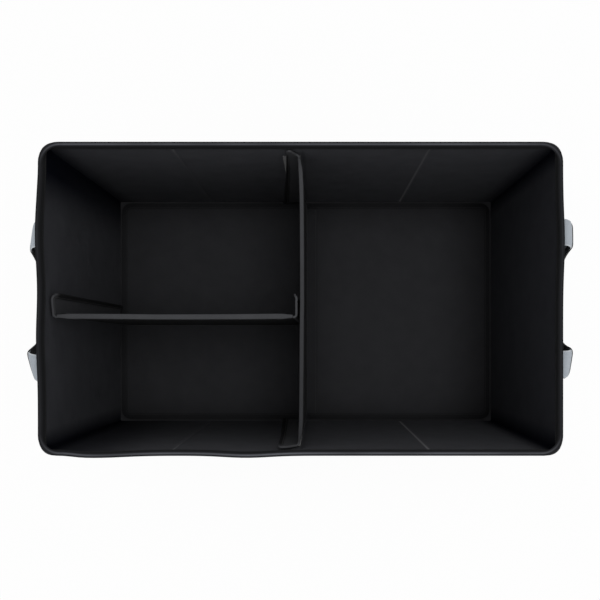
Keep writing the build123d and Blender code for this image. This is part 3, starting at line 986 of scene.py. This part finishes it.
def half_strap(side, leg, lean, flare, size, shift):
    """Half a handle, from its leg's lower end to the middle of the loop.

    Returns its length and its warp: u is across the strap, towards the middle of the wall, v along it and w
    through it, away from the wall. The flat strap is rolled over an edge that leans."""
    tilt = radians(lean)
    radius = strap_bend_radius
    turned = pi * radius
    along_edge = np.array([cos(tilt), sin(tilt)])
    over_edge = np.array([-sin(tilt), cos(tilt)])
    hanging = np.array([sin(2 * tilt), -cos(2 * tilt)])
    margin = 0.002
    free_from = turned / cos(tilt) + 1.15 * strap_width / 2 * tan(tilt) + margin
    start = turned * over_edge + free_from * hanging
    from_middle = handle_spacing / 2 + shift
    middle = np.array([from_middle, -loop_sag])
    bend = start + hanging * (loop_sag + start[1]) / cos(2 * tilt)
    to_bend = 0.82
    rest = 1 - to_bend
    curve = bezier(start, start * rest + bend * to_bend, bend * to_bend + middle * rest, middle)
    distance = lengths(curve)
    total = leg_length + free_from + distance[-1]
    roundness = 0.10
    fold_reach = 0.045

    def warp(u, v, w):
        ahead = v - leg_length
        if ahead <= free_from:
            p = u * cos(tilt) + ahead * sin(tilt)
            q = -u * sin(tilt) + ahead * cos(tilt)
            if q <= 0:
                (inward, up), out = (u, ahead), w
            elif q < turned:
                angle = q / radius
                inward, up = p * along_edge + (radius - w) * sin(angle) * over_edge
                out = radius - (radius - w) * cos(angle)
            else:
                inward, up = p * along_edge - (q - turned) * over_edge
                out = 2 * radius - w
        else:
            spot = ahead - free_from
            centre = interpolate(spot, distance, curve)
            step = 0.001
            run = interpolate(min(spot + step, distance[-1]), distance, curve)
            run -= interpolate(max(spot - step, 0), distance, curve)
            run = np.array([1.0, 0.0]) if spot > distance[-1] - step else unit(run)
            inward, up = centre[0] - run[1] * u, centre[1] + run[0] * u
            out = 2 * radius - w
        near_fold = 1 - eased((ahead - turned) / fold_reach)
        across = u / (strap_width / 2)
        out *= 1 + (size * (1 + flare * across - roundness * across**6) - 1) * near_fold
        out -= tan(loop_lean) * max(-up, 0.0) * (out > radius)
        y = leg * (from_middle - inward)
        wall_side = 0 if side > 0 else 2
        follow = max(1 - out / (2 * radius), 0.0)
        x = half_length + strap_gap + strap_thickness / 2 + out + bow(wall_side, y, bend_z + up) * follow
        return Vector((side * x, y, bend_z + up))

    return total, warp


def handle_pieces(name):
    """The strap, its sleeve and its stitching, at one end of the box."""
    side = 1 if name == "right" else -1
    front_shape, back_shape = leg_shapes[name]
    front_tilt, back_tilt = radians(front_shape[0]), radians(back_shape[0])
    front_length, front = half_strap(side, -1, *front_shape)
    back_length, back = half_strap(side, 1, *back_shape)
    whole = front_length + back_length

    def warp(u, v, w):
        return front(u, v, w) if v <= front_length else back(u, whole - v, w)

    def along(start, end):
        """Close rows over the folds and wider ones elsewhere."""
        fine = [leg_length - 0.008, leg_length + 0.048]
        marks = [start, *fine, whole - fine[1], whole - fine[0], end]
        marks = [mark for mark in marks if start <= mark <= end]
        values = [marks[0]]
        for near, far in zip(marks, marks[1:]):
            middle = (near + far) / 2
            in_fold = fine[0] < middle < fine[1] or fine[0] < whole - middle < fine[1]
            values += steps(near, far, 0.0012 if in_fold else 0.004)[1:]
        return values

    half = strap_width / 2
    body = f"{name}_handle"
    root = half_length + strap_thickness / 2
    start, end = ((side * (root + out), 0, bend_z) for out in (0, 2 * strap_bend_radius))
    thick = strap_thickness / 2

    plain = 0.0105  # how far out the plain middle of the strap reaches
    us = [*steps(-half, -plain, 0.0011), *steps(-plain, plain, 0.0021), *steps(plain, half, 0.0011)]
    us += [way * (place + gap) for way in (-1, 1) for place in groove_places for gap in (-0.0006, 0, 0.0006)]
    us = sorted({round(u, 5) for u in us})

    def ribbed(u, v, w):
        """The strap with its two narrow grooves along each edge."""
        groove = max(peak(abs(u) - place, 0.0004) for place in groove_places)
        return warp(u, v, w * (1 - 0.3 * groove))

    def selvage_highlight(u, v, w):
        """A painted highlight makes the edges of the webbing paler."""
        return 0.7 * peak(half - abs(u), 0.0011), 0.0

    strap = slab(f"{name}_strap", us, along(0, whole), -thick, thick, ribbed, marks=selvage_highlight)
    dress(strap, "webbing", f"{body}_legs", f"{body}_bends", f"{body}_loop")
    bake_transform(strap)
    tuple(start)
    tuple(end)

    wide, deep, cloth = half + 0.0016, thick + 0.0003, 0.0011
    opening = 8
    turns = np.linspace(radians(90 + opening), radians(450 - opening), 41)
    ring = [(copysign(abs(cos(a)) ** 0.35, cos(a)), copysign(abs(sin(a)) ** 0.75, sin(a))) for a in turns]
    outer_ring = [((wide + cloth) * c, (deep + cloth) * s) for c, s in ring]
    inner_ring = [(wide * c, deep * s) for c, s in ring]
    past_fold = 0.98 * pi * strap_bend_radius
    sleeve_start = leg_length + past_fold / cos(front_tilt)
    sleeve_end = whole - leg_length - past_fold / cos(back_tilt)
    rows = [(0.0, v, 1, 0) for v in along(sleeve_start, sleeve_end)]
    sleeve_hem = 0.03

    def sleeve_warp(u, v, w):
        """The sleeve follows the strap, cut along its folds, full and crumpled between its hems."""
        from_start, from_end = (v - sleeve_start) / sleeve_hem, (sleeve_end - v) / sleeve_hem
        swell = held(min(from_start, from_end))
        crumple = 0.0007 * (unevenness(u, v, side * 4.0, 0.011) - 0.4) * swell
        v += u * (tan(front_tilt) * max(1 - from_start, 0.0) - tan(back_tilt) * max(1 - from_end, 0.0))
        way = 1 if w > 0 else -1
        extra = (0.0006 * swell + crumple) * way if abs(w) > thick + 0.0004 else 0.0
        return warp(u, v, w + extra)

    sleeve = sweep(f"{name}_sleeve", rows, outer_ring + inner_ring[::-1], sleeve_warp)
    dress(sleeve, "grip_fabric", f"{body}_grip")
    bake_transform(sleeve)
    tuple(start)
    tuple(end)

    edge, lower, upper = half - 0.003, 0.004, leg_length - 0.010
    face = thick + 0.00005
    a, b, c, d = (-edge, lower), (edge, lower), (edge, upper), (-edge, upper)
    box_rows = []
    for from_end in (False, True):
        for (u0, v0), (u1, v1) in ((a, b), (b, c), (c, d), (d, a), (a, c), (b, d)):
            line = [(u0 + (u1 - u0) * k / 12, v0 + (v1 - v0) * k / 12, face) for k in range(13)]
            box_rows.append((warp, [(u, whole - v if from_end else v, w) for u, v, w in line], 1))
    sewn = sew(f"{name}_strap_stitching", box_rows, "webbing", grey_thread, pitch=0.0032, radius=0.00035)
    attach(sewn, "shell")

    hem = [
        (sleeve_warp, [(u, v, way * (deep + cloth)) for u in steps(-half, half, 0.002)], way)
        for v in (sleeve_start + 0.004, sleeve_end - 0.004)
        for way in (-1, 1)
    ]
    sewn = sew(f"{name}_sleeve_stitching", hem, "grip_fabric", pitch=0.0030)
    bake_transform(sewn)
    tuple(start)
    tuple(end)


for name in ("right", "left"):
    handle_pieces(name)

# The solids that no cloth piece stands for are the bottom panel, and the base boards inside their covers.
for name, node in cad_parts.items():
    if not node.hide_render:
        node.data.materials.clear()
        node.data.materials.append(underside if name == "bottom_panel" else finishes["stiffener_board"])

# ---- Camera, light and floor ----
camera_data = bpy.data.cameras.new("camera")
camera_data.lens = 39.5
camera_data.sensor_width = 36
camera_data.shift_x = -0.0317
camera_data.shift_y = 0.072
camera_data.clip_end = 50
camera = add_object("camera", camera_data)
camera.location = (0.0212, -0.0509, height + 0.754)
bpy.context.scene.camera = camera

lamp = bpy.data.lights.new("key", "AREA")
lamp.shape = "SQUARE"
lamp.size = 1.1
lamp.energy = 20
key = add_object("key", lamp)
key.location = (0.35, 0.05, 2.6)
key.rotation_euler = (Vector((0, 0, height / 2)) - key.location).to_track_quat("-Z", "Y").to_euler()


def show(tree, output, lit, seen, share):
    """The object is lit by lit, and the camera sees a share of seen in its place."""
    rays = add_node(tree, "ShaderNodeLightPath").outputs["Is Camera Ray"]
    amount = add_node(tree, "ShaderNodeMath", {0: rays, 1: share}, operation="MULTIPLY").outputs[0]
    choice = add_node(tree, "ShaderNodeMixShader", {0: amount, 1: lit.outputs[0], 2: seen.outputs[0]})
    set_inputs(tree, tree.nodes[output], {0: choice.outputs[0]})


world = bpy.data.worlds.new("studio")
bpy.context.scene.world = world
world.use_nodes = True
tree = world.node_tree
background = tree.nodes["Background"]
set_inputs(tree, background, {"Color": white, "Strength": 0.6})
seen = add_node(tree, "ShaderNodeBackground", {"Color": white, "Strength": 1.0})
show(tree, "World Output", background, seen, 1.0)

floor_mesh = bpy.data.meshes.new("floor")
floor_reach = 12
ways = (-1, -1), (1, -1), (1, 1), (-1, 1)
floor_mesh.from_pydata([(x * floor_reach, y * floor_reach, -0.0002) for x, y in ways], [], [(0, 1, 2, 3)])
add_object("floor", floor_mesh)
paper = bpy.data.materials.new("paper")
paper.use_nodes = True
tree = paper.node_tree
shader = tree.nodes["Principled BSDF"]
set_inputs(tree, shader, {"Base Color": (0.95, 0.95, 0.95, 1), "Roughness": 0.9})
glow = add_node(tree, "ShaderNodeEmission", {"Color": white, "Strength": 1.0})
show(tree, "Material Output", shader, glow, 0.95)
floor_mesh.materials.append(paper)

bpy.context.scene.view_settings.view_transform = "Standard"
